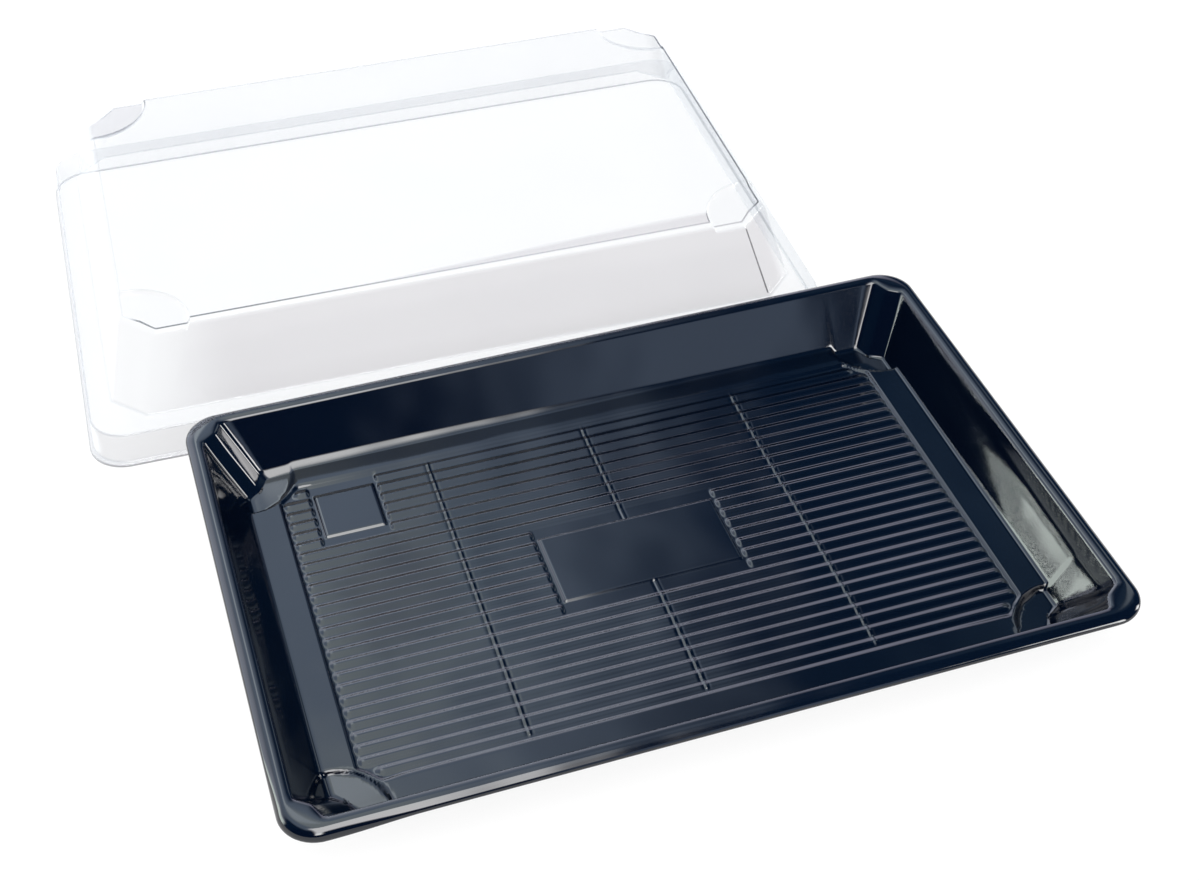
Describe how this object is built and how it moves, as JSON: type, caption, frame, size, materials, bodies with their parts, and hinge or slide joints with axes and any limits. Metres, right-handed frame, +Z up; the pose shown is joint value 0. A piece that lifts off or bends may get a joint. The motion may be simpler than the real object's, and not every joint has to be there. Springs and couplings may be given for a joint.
{
  "type": "takeaway sushi tray with a clear lid",
  "caption": "Black formed food tray with a ribbed mat floor and corner feet, and its clear domed lid lying dome-up behind it.",
  "frame": {"origin": "on the table, under the middle of the box that holds the tray and the lid", "axes": "+Z up, +X along the tray's long side, +Y from the tray towards the lid behind it"},
  "size_m": [0.403, 0.506, 0.0583],
  "materials": {
    "black_plastic": "gloss",
    "clear_plastic": "clear, gloss"
  },
  "bodies": {
    "root": {"tray": "black_plastic", "lid": "clear_plastic"}
  },
  "joints": []
}
